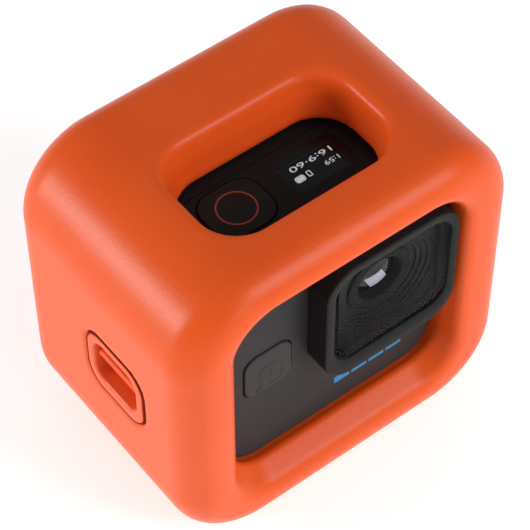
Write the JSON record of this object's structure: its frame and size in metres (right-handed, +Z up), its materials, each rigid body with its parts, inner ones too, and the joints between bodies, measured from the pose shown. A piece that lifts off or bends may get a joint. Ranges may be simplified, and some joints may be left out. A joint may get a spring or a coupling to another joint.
{
  "type": "action camera in a float case",
  "caption": "Cube-shaped action camera in a buoyant foam case, with windows for lens, buttons, screen, side door and folding mounting fingers, and a tether anchor.",
  "frame": {"origin": "centre of the float case's underside", "axes": "+Z up; the lens looks along -Y; +X to the right as seen from the front"},
  "size_m": [0.0804, 0.0582, 0.076],
  "materials": {
    "case_foam": "closed-cell foam with a fine matt skin",
    "anchor_plastic": "hard matt plastic insert",
    "body_plastic": "soft-touch dark grey",
    "trim_plastic": "fine matt dark grey",
    "button_plastic": "soft-touch dark grey",
    "ring_red": "dark red inlay",
    "accent_blue": "blue inlay",
    "black_metal": "black anodised",
    "steel": "plain stainless",
    "cover_glass": "coated flat glass",
    "screen_glass": "tinted cover glass",
    "lens_glass": "coated optical glass",
    "lens_black": "ribbed matt black",
    "seal_rubber": "matt black rubber",
    "board_green": "circuit board lacquer",
    "chip_black": "moulded chip body",
    "display_panel": "display module",
    "cell_wrap": "battery wrap",
    "copper": "copper heat spreader",
    "card_plastic": "memory card body",
    "pad_foam": "foam tape"
  },
  "bodies": {
    "case": {"float_case": "case_foam", "tether_anchor": "anchor_plastic"},
    "camera": {"front_shell": "body_plastic", "back_shell": "body_plastic", "shell_seal": "seal_rubber", "heat_sink_upper": "black_metal", "heat_sink_lower": "black_metal", "lens_housing": "trim_plastic", "lens_barrel": "lens_black", "lens_ring": "lens_black", "front_element": "lens_glass", "rear_element": "lens_glass", "image_sensor": "chip_black", "sensor_board": "board_green", "shutter_switch": "chip_black", "button_board": "board_green", "status_switch": "chip_black", "status_board": "board_green", "status_glass": "screen_glass", "status_panel": "display_panel", "door_pin": "steel", "charging_port": "steel", "card_reader": "steel", "battery": "cell_wrap", "battery_pad": "pad_foam", "main_board": "board_green", "processor": "chip_black", "heat_spreader": "copper", "speaker": "chip_black", "microphone": "steel", "back_screw_1": "steel", "accent_dash_1": "accent_blue", "back_screw_2": "steel", "accent_dash_2": "accent_blue", "back_screw_3": "steel", "accent_dash_3": "accent_blue", "back_screw_4": "steel", "accent_dash_4": "accent_blue", "low_pin_left": "steel", "back_pin_left": "steel", "low_pin_right": "steel", "back_pin_right": "steel"},
    "shutter": {"shutter_button": "button_plastic", "shutter_ring": "ring_red"},
    "status": {"status_button": "button_plastic"},
    "door": {"door_panel": "body_plastic", "door_seal": "seal_rubber"},
    "latch": {"door_latch": "button_plastic"},
    "card": {"memory_card": "card_plastic"},
    "lens_cover": {"cover_frame": "trim_plastic", "cover_glass": "cover_glass", "cover_seal": "seal_rubber"},
    "low_finger_left": {"low_finger_left": "trim_plastic"},
    "low_finger_right": {"low_finger_right": "trim_plastic"},
    "back_finger_left": {"back_finger_left": "trim_plastic"},
    "back_finger_right": {"back_finger_right": "trim_plastic"}
  },
  "joints": [
    {"name": "camera_slide", "type": "slide", "parent": "case", "child": "camera", "axis": [0, 1, 0], "range_m": [0, 0.06]},
    {"name": "shutter_press", "type": "slide", "parent": "camera", "child": "shutter", "axis": [0, 0, -1], "range_m": [0, 0.0006], "stiffness_N_per_m": 1500, "springref_m": -0.0006},
    {"name": "status_press", "type": "slide", "parent": "camera", "child": "status", "axis": [0, 1, 0], "range_m": [0, 0.0005], "stiffness_N_per_m": 1500, "springref_m": -0.0005},
    {"name": "door_hinge", "type": "hinge", "parent": "camera", "child": "door", "pos_m": [0.0253, -0.0075, 0.02205], "axis": [0, 1, 0], "range_deg": [0, 90]},
    {"name": "latch_slide", "type": "slide", "parent": "door", "child": "latch", "axis": [0, 0, -1], "range_m": [0, 0.002]},
    {"name": "card_press", "type": "slide", "parent": "camera", "child": "card", "axis": [-1, 0, 0], "range_m": [0, 0.0008], "stiffness_N_per_m": 600, "springref_m": -0.0005},
    {"name": "lens_cover_pull", "type": "slide", "parent": "camera", "child": "lens_cover", "axis": [0, -1, 0], "range_m": [0, 0.016]},
    {"name": "low_finger_left_hinge", "type": "hinge", "parent": "camera", "child": "low_finger_left", "pos_m": [-0.0032, -0.0062, 0.0153], "axis": [0, -1, 0], "range_deg": [0, 90]},
    {"name": "back_finger_left_hinge", "type": "hinge", "parent": "camera", "child": "back_finger_left", "pos_m": [-0.0032, 0.0081, 0.0392], "axis": [0, 0, -1], "range_deg": [0, 90]},
    {"name": "low_finger_right_hinge", "type": "hinge", "parent": "camera", "child": "low_finger_right", "pos_m": [0.0032, -0.0062, 0.0153], "axis": [0, 1, 0], "range_deg": [0, 90]},
    {"name": "back_finger_right_hinge", "type": "hinge", "parent": "camera", "child": "back_finger_right", "pos_m": [0.0032, 0.0081, 0.0392], "axis": [0, 0, 1], "range_deg": [0, 90]}
  ]
}
